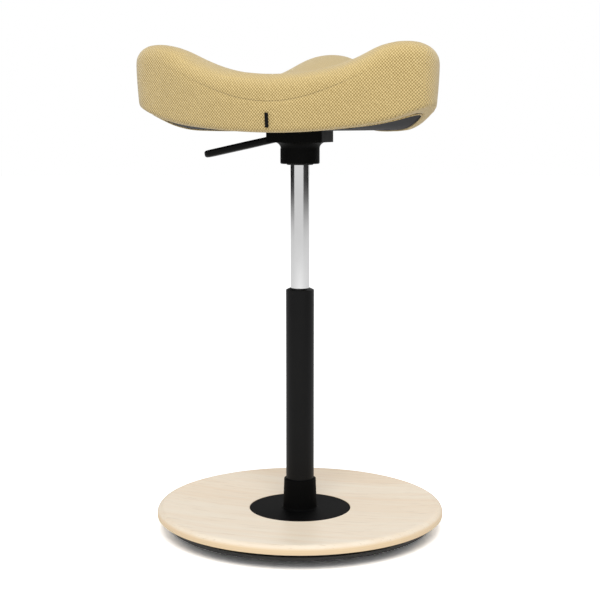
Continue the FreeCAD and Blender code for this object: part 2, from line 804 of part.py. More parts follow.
seat_screws = shell_screw_places()
board = make_board()
shell = make_shell(seat_screws)
screw_set = []
for sx, sy in seat_screws:
    seat_of_head = underside(sx, sy, board) - skin_gap - shell_thickness + shell_screw_sink
    start = seat_of_head - shell_screw_head
    head_radius = shell_screw_head_radius
    screw_set.append(cap_screw(sx, sy, start, head_radius, shell_screw_head, 2.0, shell_screw_length))
    board = board.cut(cylinder(2.0 + press_gap, start, seat_of_head + shell_screw_length + 1.0, sx, sy))
    board = board.cut(cylinder(head_radius + 0.3, start - 5.0, seat_of_head + skin_gap, sx, sy))
    shell = shell.cut(cylinder(head_radius + 0.3, start - 5.0, seat_of_head, sx, sy))
save("seat_board", board)
save("threaded_inserts", make_inserts())
save("under_shell", shell)
save("shell_screws", Part.makeCompound(screw_set))
save("seat_foam", make_foam(board))
save("seat_cover", make_cover(cushion(0.0)))
save("label_tag", make_tag())
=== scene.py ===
import math

import bmesh
import bpy
import numpy as np
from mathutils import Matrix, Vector
from mathutils.bvhtree import BVHTree


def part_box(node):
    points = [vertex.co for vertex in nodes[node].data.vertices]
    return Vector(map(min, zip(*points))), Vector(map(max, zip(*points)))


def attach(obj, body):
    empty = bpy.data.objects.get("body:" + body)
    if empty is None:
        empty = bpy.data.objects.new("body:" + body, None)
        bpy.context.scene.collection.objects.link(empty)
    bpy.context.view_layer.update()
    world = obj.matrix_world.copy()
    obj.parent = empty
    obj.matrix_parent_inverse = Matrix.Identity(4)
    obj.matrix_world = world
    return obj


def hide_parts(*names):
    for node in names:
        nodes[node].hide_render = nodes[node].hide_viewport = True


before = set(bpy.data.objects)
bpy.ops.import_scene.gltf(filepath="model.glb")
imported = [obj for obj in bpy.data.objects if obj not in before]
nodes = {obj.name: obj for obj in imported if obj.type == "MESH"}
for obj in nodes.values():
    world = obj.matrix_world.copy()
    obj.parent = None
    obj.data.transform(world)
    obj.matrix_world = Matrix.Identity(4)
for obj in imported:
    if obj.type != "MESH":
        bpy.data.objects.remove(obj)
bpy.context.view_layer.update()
bpy.ops.object.select_all(action="DESELECT")

# Camera: the photograph is taken from 15.5 degrees off the rear, 0.61 m above the floor
# and 1.98 m from the column, with a long lens pitched a little down.
camera_height = 0.609
camera_distance = 1.978
camera_azimuth = math.radians(15.5)
camera_pitch = math.radians(7.5)
bpy.ops.object.camera_add(
    location=(camera_distance * math.sin(camera_azimuth),
              -camera_distance * math.cos(camera_azimuth), camera_height),
    rotation=(math.radians(90) - camera_pitch, 0, camera_azimuth))
camera = bpy.context.object
camera.name = "camera"
camera.data.lens = 80.2
camera.data.sensor_width = 36.0
camera.data.clip_end = 50.0
bpy.context.scene.camera = camera
bpy.context.scene.view_settings.view_transform = "Standard"

# Studio: a white floor without a visible edge, an even white surround, one large soft
# light over the front and two curved dark cards that only polished metal reflects. Both
# floor and surround are brighter to the camera than to the metal and to the other surfaces.
surround_level = 0.62
surround_in_metal = 0.45
floor_tone = 0.86
floor_tone_seen = 1.9
floor_in_metal = 0.25
world = bpy.data.worlds.new("white_surround")
bpy.context.scene.world = world
world.use_nodes = True
tree = world.node_tree
background = tree.nodes["Background"]
background.inputs["Color"].default_value = (1, 1, 1, 1)
path = tree.nodes.new("ShaderNodeLightPath")
seen = tree.nodes.new("ShaderNodeMath")
seen.operation = "MAXIMUM"
tree.links.new(path.outputs["Is Camera Ray"], seen.inputs[0])
tree.links.new(path.outputs["Is Transmission Ray"], seen.inputs[1])
shown = tree.nodes.new("ShaderNodeMath")
shown.operation = "MULTIPLY_ADD"
shown.inputs[1].default_value = surround_in_metal
tree.links.new(path.outputs["Is Glossy Ray"], shown.inputs[0])
tree.links.new(seen.outputs[0], shown.inputs[2])
level = tree.nodes.new("ShaderNodeMapRange")
level.inputs["To Min"].default_value = surround_level
level.inputs["To Max"].default_value = 1.0
tree.links.new(shown.outputs[0], level.inputs["Value"])
tree.links.new(level.outputs[0], background.inputs["Strength"])

bpy.ops.mesh.primitive_circle_add(vertices=96, radius=14.0, fill_type="NGON")
floor = bpy.context.object
floor.name = "floor"
paper = bpy.data.materials.new("floor_paper")
paper.use_nodes = True
tree = paper.node_tree
tree.nodes.remove(tree.nodes["Principled BSDF"])
output = tree.nodes["Material Output"]
matt = tree.nodes.new("ShaderNodeBsdfDiffuse")
matt.inputs["Color"].default_value = (floor_tone, floor_tone, floor_tone, 1)
bright = tree.nodes.new("ShaderNodeBsdfDiffuse")
bright.inputs["Color"].default_value = (floor_tone_seen, floor_tone_seen, floor_tone_seen, 1)
path = tree.nodes.new("ShaderNodeLightPath")
seen = tree.nodes.new("ShaderNodeMath")
seen.operation = "MULTIPLY_ADD"
seen.inputs[1].default_value = floor_in_metal
tree.links.new(path.outputs["Is Glossy Ray"], seen.inputs[0])
tree.links.new(path.outputs["Is Camera Ray"], seen.inputs[2])
choice = tree.nodes.new("ShaderNodeMixShader")
tree.links.new(seen.outputs[0], choice.inputs[0])
tree.links.new(matt.outputs[0], choice.inputs[1])
tree.links.new(bright.outputs[0], choice.inputs[2])
tree.links.new(choice.outputs[0], output.inputs["Surface"])
floor.data.materials.append(paper)

bpy.ops.object.light_add(type="AREA", location=(0.5, -1.9, 2.6))
softbox = bpy.context.object
softbox.name = "softbox"
softbox.data.shape = "DISK"
softbox.data.size = 1.9
softbox.data.energy = 48.0
softbox.rotation_euler = (Vector((0, 0, 0.35)) - softbox.location).to_track_quat("-Z", "Y").to_euler()
softbox.visible_glossy = False

card_distance = 1.6
card_low = 0.30
card_high = 3.0
card_fade = 0.16
card_spans = ((-165, -72), (42, 128))
dark_card = bpy.data.materials.new("dark_card")
dark_card.use_nodes = True
tree = dark_card.node_tree
tree.nodes.remove(tree.nodes["Principled BSDF"])
output = tree.nodes["Material Output"]
place = tree.nodes.new("ShaderNodeTexCoord")
split = tree.nodes.new("ShaderNodeSeparateXYZ")
tree.links.new(place.outputs["Object"], split.inputs[0])
fade = tree.nodes.new("ShaderNodeMapRange")
fade.interpolation_type = "SMOOTHSTEP"
fade.inputs["From Min"].default_value = card_low
fade.inputs["From Max"].default_value = card_low + card_fade
tree.links.new(split.outputs["Z"], fade.inputs["Value"])
dark = tree.nodes.new("ShaderNodeEmission")
dark.inputs["Color"].default_value = (0.012, 0.012, 0.012, 1)
clear = tree.nodes.new("ShaderNodeBsdfTransparent")
choice = tree.nodes.new("ShaderNodeMixShader")
tree.links.new(fade.outputs[0], choice.inputs[0])
tree.links.new(clear.outputs[0], choice.inputs[1])
tree.links.new(dark.outputs[0], choice.inputs[2])
tree.links.new(choice.outputs[0], output.inputs["Surface"])
for number, (first, last) in enumerate(card_spans):
    bpy.ops.mesh.primitive_circle_add(vertices=144, radius=card_distance, location=(0, 0, card_low))
    card = bpy.context.object
    card.name = "dark_card_%d" % number
    bpy.ops.object.mode_set(mode="EDIT")
    bpy.ops.mesh.select_all(action="SELECT")
    bpy.ops.mesh.extrude_region_move(TRANSFORM_OT_translate={"value": (0, 0, card_high - card_low)})
    bpy.ops.object.mode_set(mode="OBJECT")
    bpy.ops.object.transform_apply(location=True)
    shape = bmesh.new()
    shape.from_mesh(card.data)
    gone = []
    for face in shape.faces:
        middle = face.calc_center_median()
        turn = math.degrees(math.atan2(middle.x, -middle.y) - camera_azimuth)
        turn = (turn + 180) % 360 - 180
        if not first < turn < last:
            gone.append(face)
    bmesh.ops.delete(shape, geom=gone, context="FACES")
    shape.to_mesh(card.data)
    shape.free()
    card.data.materials.append(dark_card)
    card.visible_camera = False
    card.visible_diffuse = False
    card.visible_shadow = False
    card.visible_transmission = False


# Finishes that several pieces share: powder coat, moulded plastic, zinc and rubber. The
# fine bumps of each come from one group of noise, set to its own grain size and depth.
def new_group(name, inputs, outputs):
    group = bpy.data.node_groups.new(name, "ShaderNodeTree")
    for label, kind, value in inputs:
        socket = group.interface.new_socket(label, in_out="INPUT", socket_type=kind)
        socket.default_value = value
    for label, kind in outputs:
        group.interface.new_socket(label, in_out="OUTPUT", socket_type=kind)
    return group, group.nodes.new("NodeGroupInput"), group.nodes.new("NodeGroupOutput")


def join(tree, kind, *links, **settings):
    """A new node with its settings, and its inputs linked or set in order."""
    node = tree.nodes.new(kind)
    for key, value in settings.items():
        setattr(node, key, value)
    for name, value in links:
        if isinstance(value, bpy.types.NodeSocket):
            tree.links.new(value, node.inputs[name])
        else:
            node.inputs[name].default_value = value
    return node


grain_group, given, put = new_group(
    "fine_grain",
    [("Vector", "NodeSocketVector", (0, 0, 0)), ("Grain size", "NodeSocketFloat", 0.0008),
     ("Colour", "NodeSocketColor", (0.02, 0.02, 0.02, 1)),
     ("Worn colour", "NodeSocketColor", (0.04, 0.04, 0.04, 1)),
     ("Roughness", "NodeSocketFloat", 0.5), ("Variation", "NodeSocketFloat", 0.1)],
    [("Colour", "NodeSocketColor"), ("Roughness", "NodeSocketFloat"), ("Height", "NodeSocketFloat")])
size = join(grain_group, "ShaderNodeMath", (0, 1.0), (1, given.outputs["Grain size"]), operation="DIVIDE")
grain = join(grain_group, "ShaderNodeTexNoise", ("Vector", given.outputs["Vector"]),
             ("Scale", size.outputs[0]), ("Detail", 3.0), ("Roughness", 0.55))
cloud = join(grain_group, "ShaderNodeTexNoise", ("Vector", given.outputs["Vector"]), ("Scale", 22.0),
             ("Detail", 4.0), ("Roughness", 0.6))
blend = join(grain_group, "ShaderNodeMapRange", ("Value", cloud.outputs["Fac"]), ("From Min", 0.35),
             ("From Max", 0.7))
tint = join(grain_group, "ShaderNodeMix", ("Factor", blend.outputs[0]), ("A", given.outputs["Colour"]),
            ("B", given.outputs["Worn colour"]), data_type="RGBA")
spread = join(grain_group, "ShaderNodeMath", (0, cloud.outputs["Fac"]), (1, 0.5), operation="SUBTRACT")
shift = join(grain_group, "ShaderNodeMath", (0, spread.outputs[0]), (1, given.outputs["Variation"]),
             (2, given.outputs["Roughness"]), operation="MULTIPLY_ADD")
grain_group.links.new(tint.outputs["Result"], put.inputs["Colour"])
grain_group.links.new(shift.outputs[0], put.inputs["Roughness"])
grain_group.links.new(grain.outputs["Fac"], put.inputs["Height"])


def grained(name, colour, worn, roughness, variation, grain_size, depth, **principled):
    """A finish with fine grain; its other Principled values are given by name."""
    material = bpy.data.materials.new(name)
    material.use_nodes = True
    tree = material.node_tree
    shader = tree.nodes["Principled BSDF"]
    place = tree.nodes.new("ShaderNodeTexCoord")
    pattern = join(tree, "ShaderNodeGroup", node_tree=grain_group)
    tree.links.new(place.outputs["Object"], pattern.inputs["Vector"])
    pattern.inputs["Grain size"].default_value = grain_size
    pattern.inputs["Colour"].default_value = colour + (1,)
    pattern.inputs["Worn colour"].default_value = worn + (1,)
    pattern.inputs["Roughness"].default_value = roughness
    pattern.inputs["Variation"].default_value = variation
    tree.links.new(pattern.outputs["Colour"], shader.inputs["Base Color"])
    tree.links.new(pattern.outputs["Roughness"], shader.inputs["Roughness"])
    bump = join(tree, "ShaderNodeBump", ("Height", pattern.outputs["Height"]), ("Distance", depth))
    tree.links.new(bump.outputs[0], shader.inputs["Normal"])
    for key, value in principled.items():
        shader.inputs[key.replace("_", " ")].default_value = value
    return material


def finish(material, *names):
    for name in names:
        node = nodes[name]
        node.data.materials.clear()
        node.data.materials.append(material)


zinc = grained("zinc_steel", (0.55, 0.55, 0.57), (0.66, 0.66, 0.67), 0.34, 0.25, 0.0011, 0.00003,
               Metallic=1.0)
rubber = grained("matt_rubber", (0.018, 0.018, 0.018), (0.028, 0.028, 0.027), 0.82, 0.1, 0.0009, 0.00008)
plastic = grained("satin_plastic", (0.004, 0.004, 0.004), (0.006, 0.006, 0.006), 0.44, 0.12, 0.0006,
                  0.00004, Specular_IOR_Level=0.14)

# Rocker: a black moulded dish under the wooden disc with a flat middle that it rests on,
# shod with a rubber tread and held up to the disc by eight screws.
rocker_finish = grained("rocker_moulding", (0.012, 0.012, 0.012), (0.02, 0.02, 0.019), 0.6, 0.1, 0.0007,
                        0.00005)
finish(rocker_finish, "rocker_plate")
finish(rubber, "tread_pad")
finish(zinc, "rocker_screws")

# Disc: pale lacquered wood, pressed from thin layers that show as faint lines on the rim.
# The grain runs along X with short dark pores and broad, very faint staves.
wood_group, given, put = new_group(
    "straight_grain",
    [("Vector", "NodeSocketVector", (0, 0, 0)), ("Normal", "NodeSocketVector", (0, 0, 1)),
     ("Pale", "NodeSocketColor", (0.8, 0.7, 0.58, 1)), ("Deep", "NodeSocketColor", (0.7, 0.58, 0.44, 1)),
     ("Rim", "NodeSocketColor", (0.78, 0.66, 0.46, 1)), ("Stave width", "NodeSocketFloat", 0.07),
     ("Layer height", "NodeSocketFloat", 0.0024)],
    [("Colour", "NodeSocketColor"), ("Roughness", "NodeSocketFloat"), ("Height", "NodeSocketFloat")])
along = join(wood_group, "ShaderNodeMapping", ("Vector", given.outputs["Vector"]),
             ("Scale", (1.3, 20.0, 20.0)))
figure = join(wood_group, "ShaderNodeTexNoise", ("Vector", along.outputs[0]), ("Scale", 3.2),
              ("Detail", 5.0), ("Roughness", 0.62), ("Distortion", 0.25))
streak = join(wood_group, "ShaderNodeMapping", ("Vector", given.outputs["Vector"]),
              ("Scale", (14.0, 520.0, 520.0)))
pores = join(wood_group, "ShaderNodeTexNoise", ("Vector", streak.outputs[0]), ("Scale", 1.0),
             ("Detail", 2.5), ("Roughness", 0.5))
pore_mask = join(wood_group, "ShaderNodeMapRange", ("Value", pores.outputs["Fac"]), ("From Min", 0.56),
                 ("From Max", 0.74), interpolation_type="SMOOTHSTEP")
parts = join(wood_group, "ShaderNodeSeparateXYZ", ("Vector", given.outputs["Vector"]))
stave = join(wood_group, "ShaderNodeMath", (0, parts.outputs["Y"]), (1, given.outputs["Stave width"]),
             operation="DIVIDE")
stave_step = join(wood_group, "ShaderNodeMath", (0, stave.outputs[0]), operation="FLOOR")
stave_tone = join(wood_group, "ShaderNodeTexWhiteNoise", ("W", stave_step.outputs[0]),
                  noise_dimensions="1D")
figure_mask = join(wood_group, "ShaderNodeMapRange", ("Value", figure.outputs["Fac"]), ("From Min", 0.32),
                   ("From Max", 0.72))
tone = join(wood_group, "ShaderNodeMath", (0, stave_tone.outputs["Value"]), (1, 0.45),
            operation="MULTIPLY")
tone_sum = join(wood_group, "ShaderNodeMath", (0, figure_mask.outputs[0]), (1, 0.55), (2, tone.outputs[0]),
                operation="MULTIPLY_ADD")
face = join(wood_group, "ShaderNodeMix", ("Factor", tone_sum.outputs[0]), ("A", given.outputs["Pale"]),
            ("B", given.outputs["Deep"]), data_type="RGBA")
pore_share = join(wood_group, "ShaderNodeMath", (0, pore_mask.outputs[0]), (1, 0.35), operation="MULTIPLY")
pored = join(wood_group, "ShaderNodeMix", ("Factor", pore_share.outputs[0]), ("A", face.outputs["Result"]),
             ("B", (0.55, 0.42, 0.29, 1)), data_type="RGBA")
layer = join(wood_group, "ShaderNodeMath", (0, parts.outputs["Z"]), (1, given.outputs["Layer height"]),
             operation="DIVIDE")
layer_part = join(wood_group, "ShaderNodeMath", (0, layer.outputs[0]), operation="FRACT")
layer_line = join(wood_group, "ShaderNodeMapRange", ("Value", layer_part.outputs[0]), ("From Min", 0.86),
                  ("From Max", 0.95))
layer_share = join(wood_group, "ShaderNodeMath", (0, layer_line.outputs[0]), (1, 0.28),
                   operation="MULTIPLY")
rim_tone = join(wood_group, "ShaderNodeMix", ("Factor", layer_share.outputs[0]),
                ("A", given.outputs["Rim"]), ("B", (0.58, 0.42, 0.24, 1)), data_type="RGBA")
facing = join(wood_group, "ShaderNodeSeparateXYZ", ("Vector", given.outputs["Normal"]))
upright = join(wood_group, "ShaderNodeMath", (0, facing.outputs["Z"]), operation="ABSOLUTE")
rim_mask = join(wood_group, "ShaderNodeMapRange", ("Value", upright.outputs[0]), ("From Min", 0.75),
                ("From Max", 0.2), interpolation_type="SMOOTHSTEP")
whole = join(wood_group, "ShaderNodeMix", ("Factor", rim_mask.outputs[0]), ("A", pored.outputs["Result"]),
             ("B", rim_tone.outputs["Result"]), data_type="RGBA")
sheen = join(wood_group, "ShaderNodeMapRange", ("Value", figure.outputs["Fac"]), ("To Min", 0.36),
             ("To Max", 0.5))
dent = join(wood_group, "ShaderNodeMath", (0, 1.0), (1, pore_mask.outputs[0]), operation="SUBTRACT")
wood_group.links.new(whole.outputs["Result"], put.inputs["Colour"])
wood_group.links.new(sheen.outputs[0], put.inputs["Roughness"])
wood_group.links.new(dent.outputs[0], put.inputs["Height"])


def wooden(name, pale, deep, rim, layer_height, stave_width):
    material = bpy.data.materials.new(name)
    material.use_nodes = True
    tree = material.node_tree
    shader = tree.nodes["Principled BSDF"]
    place = tree.nodes.new("ShaderNodeTexCoord")
    pattern = join(tree, "ShaderNodeGroup", node_tree=wood_group)
    tree.links.new(place.outputs["Object"], pattern.inputs["Vector"])
    tree.links.new(place.outputs["Normal"], pattern.inputs["Normal"])
    pattern.inputs["Pale"].default_value = pale + (1,)
    pattern.inputs["Deep"].default_value = deep + (1,)
    pattern.inputs["Rim"].default_value = rim + (1,)
    pattern.inputs["Layer height"].default_value = layer_height
    pattern.inputs["Stave width"].default_value = stave_width
    tree.links.new(pattern.outputs["Colour"], shader.inputs["Base Color"])
    tree.links.new(pattern.outputs["Roughness"], shader.inputs["Roughness"])
    bump = join(tree, "ShaderNodeBump", ("Height", pattern.outputs["Height"]), ("Distance", 0.00003))
    tree.links.new(bump.outputs[0], shader.inputs["Normal"])
    shader.inputs["Specular IOR Level"].default_value = 0.35
    return material


disc_wood = wooden("pale_wood", (0.97, 0.86, 0.70), (0.92, 0.74, 0.545), (0.86, 0.66, 0.42), 0.0026, 0.074)
finish(disc_wood, "base_disc")

# Hub plate and socket: turned steel with a fine matt powder coat, welded together, let
# into the wood and bolted from below.
powder_coat = grained("powder_coat", (0.0024, 0.0024, 0.0024), (0.0034, 0.0034, 0.0034), 0.62, 0.1,
                      0.0005, 0.00003, Specular_IOR_Level=0.05)
finish(powder_coat, "hub_plate", "column_socket")
finish(zinc, "hub_bolts")

# Column: coated steel tube pressed into the socket, closed at the top by a moulded bush
# that guides the gas lift; a welded floor and a thrust bearing carry the lift inside.
tube_coat = grained("tube_coat", (0.0036, 0.0036, 0.0037), (0.005, 0.005, 0.005), 0.42, 0.08, 0.0005,
                    0.00002, Specular_IOR_Level=0.14)
brass = grained("bearing_brass", (0.62, 0.45, 0.18), (0.70, 0.54, 0.25), 0.3, 0.2, 0.001, 0.00002,
                Metallic=1.0)
finish(tube_coat, "column_tube")
finish(plastic, "guide_bush")
finish(zinc, "column_floor", "race_lower", "race_upper", "thrust_balls")
finish(brass, "ball_cage")
finish(rubber, "bump_rubber")

# Gas lift: a chromed cylinder, with the rod, piston, gland, valve and button inside it.
chrome = grained("chrome_tube", (0.80, 0.80, 0.80), (0.84, 0.84, 0.84), 0.12, 0.06, 0.002, 0.000004,
                 Metallic=1.0)
alloy = grained("piston_alloy", (0.66, 0.66, 0.67), (0.72, 0.72, 0.73), 0.32, 0.15, 0.001, 0.00002,
                Metallic=1.0)
finish(chrome, "gas_cylinder")
finish(zinc, "piston_rod", "rod_washer", "rod_clip", "release_button")
finish(alloy, "piston", "valve_body")
finish(rubber, "piston_seal")
finish(plastic, "rod_gland")

# Seat mechanism: a cast and coated plate with its round boss, a turned collar below it and
# the lift lever, a glass-filled moulding on a steel pin.
casting = grained("black_casting", (0.0026, 0.0026, 0.0024), (0.004, 0.004, 0.0038), 0.52, 0.14, 0.0009,
                  0.00009, Specular_IOR_Level=0.05)
lever_plastic = grained("lever_moulding", (0.003, 0.003, 0.003), (0.0042, 0.0042, 0.0042), 0.48, 0.1,
                        0.0005, 0.00005, Specular_IOR_Level=0.12)
finish(casting, "seat_mechanism")
finish(plastic, "boss_collar")
finish(lever_plastic, "lift_lever")
finish(zinc, "lever_pin", "mechanism_bolts", "threaded_inserts")

# Seat board and under-shell: pressed plywood, hidden, and the moulded charcoal shell that
# closes the seat's underside, held by seven screws.
board_wood = wooden("board_ply", (0.62, 0.47, 0.30), (0.50, 0.35, 0.20), (0.52, 0.36, 0.2), 0.0015, 0.2)
charcoal = grained("charcoal_shell", (0.012, 0.0117, 0.0138), (0.017, 0.0166, 0.019), 0.6, 0.1, 0.0007,
                   0.00007, Specular_IOR_Level=0.12)
finish(board_wood, "seat_board")
finish(charcoal, "under_shell")
finish(powder_coat, "shell_screws")

# Seat pad: moulded foam under a straw-yellow wool cover, sewn from a top panel and a side
# band. The pad starts from the foam and cover, drawn in a little, and swells under its cloth.
voxel = 0.005
drawn_in = 0.0010
swell_cap = 0.0030
probe_lift = 0.006
under_height = 0.075
swell_steps = 20
bpy.ops.object.select_all(action="DESELECT")
layers = []
for name in ("seat_cover", "seat_foam"):
    layer = bpy.data.objects.new("layer_" + name, nodes[name].data.copy())
    bpy.context.collection.objects.link(layer)
    layer.select_set(True)
    layers.append(layer)
bpy.context.view_layer.objects.active = layers[0]
bpy.ops.object.join()
pad = bpy.context.object
pad.name = "seat_pad"
pad.data.materials.clear()
bpy.ops.object.mode_set(mode="EDIT")
bpy.ops.mesh.select_all(action="SELECT")
bpy.ops.mesh.remove_doubles(threshold=0.00002)
bpy.ops.object.mode_set(mode="OBJECT")
form = bmesh.new()
form.from_mesh(pad.data)
surface = BVHTree.FromBMesh(form)
form.free()
pad.data.remesh_voxel_size = voxel
bpy.ops.object.voxel_remesh()
bpy.ops.object.mode_set(mode="EDIT")
bpy.ops.mesh.select_all(action="SELECT")
bpy.ops.mesh.vertices_smooth(factor=0.5, repeat=6)
bpy.ops.object.mode_set(mode="OBJECT")


def positions(mesh):
    places = np.empty(len(mesh.vertices) * 3)
    mesh.vertices.foreach_get("co", places)
    return places.reshape(-1, 3)


def place_vertices(mesh, places):
    mesh.vertices.foreach_set("co", np.ascontiguousarray(places).ravel())
    mesh.update()


def normals(mesh):
    found = np.empty(len(mesh.vertices) * 3)
    mesh.vertex_normals.foreach_get("vector", found)
    return found.reshape(-1, 3)


def outer_place(place, normal):
    """The cover's outer surface at a place: looked for from outside, back along the normal."""
    start, back = Vector(place + normal * probe_lift), Vector(-normal)
    return surface.ray_cast(start, back, 2 * probe_lift)[0] or surface.find_nearest(Vector(place))[0]


fitted = np.array([outer_place(p, n) for p, n in zip(positions(pad.data), normals(pad.data))])
place_vertices(pad.data, fitted)
seat_low = np.array(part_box("seat_cover")[0])
facing_down = normals(pad.data)[:, 2] < -0.35
under = (fitted[:, 2] < seat_low[2] + under_height) & facing_down
hold = np.where(under, 1.0, 0.0)
start = fitted - normals(pad.data) * drawn_in * (1.0 - hold)[:, None]
place_vertices(pad.data, start)
held = pad.vertex_groups.new(name="held")
held.add([int(i) for i in np.nonzero(hold)[0]], 1.0, "REPLACE")
cloth = pad.modifiers.new("swell", "CLOTH")
cloth.settings.quality = 6
cloth.settings.mass = 0.35
cloth.settings.tension_stiffness = 18
cloth.settings.compression_stiffness = 18
cloth.settings.shear_stiffness = 6
cloth.settings.bending_stiffness = 1.2
cloth.settings.use_pressure = True
cloth.settings.uniform_pressure_force = 4.0
cloth.settings.effector_weights.gravity = 0.0
cloth.settings.vertex_group_mass = "held"
cloth.collision_settings.use_collision = False
scene = bpy.context.scene
for step in range(1, swell_steps + 1):
    scene.frame_set(step)
bpy.context.view_layer.objects.active = pad
bpy.ops.object.modifier_apply(modifier="swell")
scene.frame_set(1)
moved = positions(pad.data) - start
reach = np.linalg.norm(moved, axis=1)
limit = swell_cap * (1.0 - np.exp(-reach / swell_cap))
moved *= (limit / np.maximum(reach, 1e-9))[:, None]
place_vertices(pad.data, start + moved)
bpy.ops.object.mode_set(mode="EDIT")
bpy.ops.mesh.select_all(action="SELECT")
bpy.ops.mesh.vertices_smooth(factor=0.5, repeat=2)
bpy.ops.object.mode_set(mode="OBJECT")
finer = pad.modifiers.new("finer", "SUBSURF")
finer.levels = 1
finer.render_levels = 1
bpy.ops.object.modifier_apply(modifier="finer")
bpy.ops.object.shade_smooth()
print("seat pad", len(pad.data.polygons), "faces")

# Seam of the pad: the top panel and the side band meet 35 mm under the wings' crests and
# low across the back; the thread draws the cloth in along it.
seam_centre = 0.6396
seam_rise = 0.048
seam_wing = 0.154
seam_draw = 0.0005
seam_width = 0.0034
seam_end = 0.118
rear_face = -0.118
places = positions(pad.data)
share = np.clip(np.abs(places[:, 0]) / seam_wing, 0, 1.25)
seam_height = seam_centre + seam_rise * (1.35 * share ** 2 - 0.35 * share ** 4)
rear_wall = 1.0 / (1.0 + np.exp((places[:, 1] - rear_face) / 0.008))
from_seam = places[:, 2] - seam_height
fade_out = 1.0 / (1.0 + np.exp((np.abs(places[:, 0]) - seam_end) / 0.014))
draw = seam_draw * np.exp(-(from_seam / seam_width) ** 2) * rear_wall * fade_out
place_vertices(pad.data, places - normals(pad.data) * draw[:, None])
attribute = pad.data.attributes.new("from_seam", "FLOAT", "POINT")
attribute.data.foreach_set("value", from_seam)
attribute = pad.data.attributes.new("seam_share", "FLOAT", "POINT")
attribute.data.foreach_set("value", rear_wall * fade_out)

# Cover cloth: a coarse wool weave of small raised dots in slanting rows, lighter on the dots, in the
# yarn's own colour, and darker between them, where the darker colour is painted shade in the gaps between
# the yarns, with a soft sheen at grazing angles.
weave_group, given, put = new_group(
    "wool_weave",
    [("Vector", "NodeSocketVector", (0, 0, 0)), ("Normal", "NodeSocketVector", (0, 0, 1)),
     ("Pitch", "NodeSocketFloat", 0.0040), ("Yarn", "NodeSocketColor", (0.66, 0.52, 0.26, 1)),
     ("Shaded gap", "NodeSocketColor", (0.40, 0.29, 0.12, 1))],
    [("Colour", "NodeSocketColor"), ("Roughness", "NodeSocketFloat"), ("Height", "NodeSocketFloat")])
parts = join(weave_group, "ShaderNodeSeparateXYZ", ("Vector", given.outputs["Vector"]))
facing = join(weave_group, "ShaderNodeSeparateXYZ", ("Vector", given.outputs["Normal"]))
turn = join(weave_group, "ShaderNodeMath", (0, 2 * math.pi), (1, given.outputs["Pitch"]),
            operation="DIVIDE")
jitter = join(weave_group, "ShaderNodeTexNoise", ("Vector", given.outputs["Vector"]), ("Scale", 320.0),
              ("Detail", 2.0))
loose = join(weave_group, "ShaderNodeMath", (0, jitter.outputs["Fac"]), (1, 2.6), operation="MULTIPLY")


def dots(first, second):
    """Raised dots in slanting rows on the plane of two axes."""
    one = join(weave_group, "ShaderNodeMath", (0, parts.outputs[first]), (1, turn.outputs[0]),
               (2, loose.outputs[0]), operation="MULTIPLY_ADD")
    slow = join(weave_group, "ShaderNodeMath", (0, turn.outputs[0]), (1, 0.9), operation="MULTIPLY")
    other = join(weave_group, "ShaderNodeMath", (0, parts.outputs[second]), (1, slow.outputs[0]),
                 (2, loose.outputs[0]), operation="MULTIPLY_ADD")
    first_wave = join(weave_group, "ShaderNodeMath", (0, one.outputs[0]), operation="SINE")
    second_wave = join(weave_group, "ShaderNodeMath", (0, other.outputs[0]), operation="SINE")
    product = join(weave_group, "ShaderNodeMath", (0, first_wave.outputs[0]), (1, second_wave.outputs[0]),
                   operation="MULTIPLY")
    return join(weave_group, "ShaderNodeMapRange", ("Value", product.outputs[0]), ("From Min", -0.9),
                ("From Max", 0.9), interpolation_type="SMOOTHSTEP")


front, top, side = dots("X", "Z"), dots("X", "Y"), dots("Y", "Z")
upward = join(weave_group, "ShaderNodeMath", (0, facing.outputs["Z"]), operation="ABSOLUTE")
sideways = join(weave_group, "ShaderNodeMath", (0, facing.outputs["X"]), operation="ABSOLUTE")
top_share = join(weave_group, "ShaderNodeMapRange", ("Value", upward.outputs[0]), ("From Min", 0.62),
                 ("From Max", 0.74), interpolation_type="SMOOTHSTEP")
side_share = join(weave_group, "ShaderNodeMapRange", ("Value", sideways.outputs[0]), ("From Min", 0.66),
                  ("From Max", 0.78), interpolation_type="SMOOTHSTEP")
walls = join(weave_group, "ShaderNodeMix", ("Factor", side_share.outputs[0]), ("A", front.outputs[0]),
             ("B", side.outputs[0]))
woven = join(weave_group, "ShaderNodeMix", ("Factor", top_share.outputs[0]),
             ("A", walls.outputs["Result"]), ("B", top.outputs[0]))
fluff = join(weave_group, "ShaderNodeTexNoise", ("Vector", given.outputs["Vector"]), ("Scale", 1500.0),
             ("Detail", 2.0))
raised = join(weave_group, "ShaderNodeMath", (0, fluff.outputs["Fac"]), (1, 0.25),
              (2, woven.outputs["Result"]), operation="MULTIPLY_ADD")
broad = join(weave_group, "ShaderNodeTexNoise", ("Vector", given.outputs["Vector"]), ("Scale", 16.0),
             ("Detail", 3.0))
# Painted top light: on upward faces the weave is drawn towards a lighter, even tone, as if lit from above.
top_light_share = join(weave_group, "ShaderNodeMapRange", ("Value", facing.outputs["Z"]), ("From Min", 0.15),
            ("From Max", 0.85), ("To Min", 0.0), ("To Max", 0.55))
top_lit_weave = join(weave_group, "ShaderNodeMix", ("Factor", top_light_share.outputs[0]), ("A", woven.outputs["Result"]),
            ("B", 0.68))
tone = join(weave_group, "ShaderNodeMath", (0, broad.outputs["Fac"]), (1, 0.10),
            (2, top_lit_weave.outputs["Result"]), operation="MULTIPLY_ADD")
# The gap colour is painted shade between the raised dots of yarn.
cloth_colour = join(weave_group, "ShaderNodeMix", ("Factor", tone.outputs[0]), ("A", given.outputs["Shaded gap"]),
                    ("B", given.outputs["Yarn"]), data_type="RGBA")
weave_group.links.new(cloth_colour.outputs["Result"], put.inputs["Colour"])
rough = join(weave_group, "ShaderNodeMapRange", ("Value", woven.outputs["Result"]), ("To Min", 0.95),
             ("To Max", 0.82))
weave_group.links.new(rough.outputs[0], put.inputs["Roughness"])
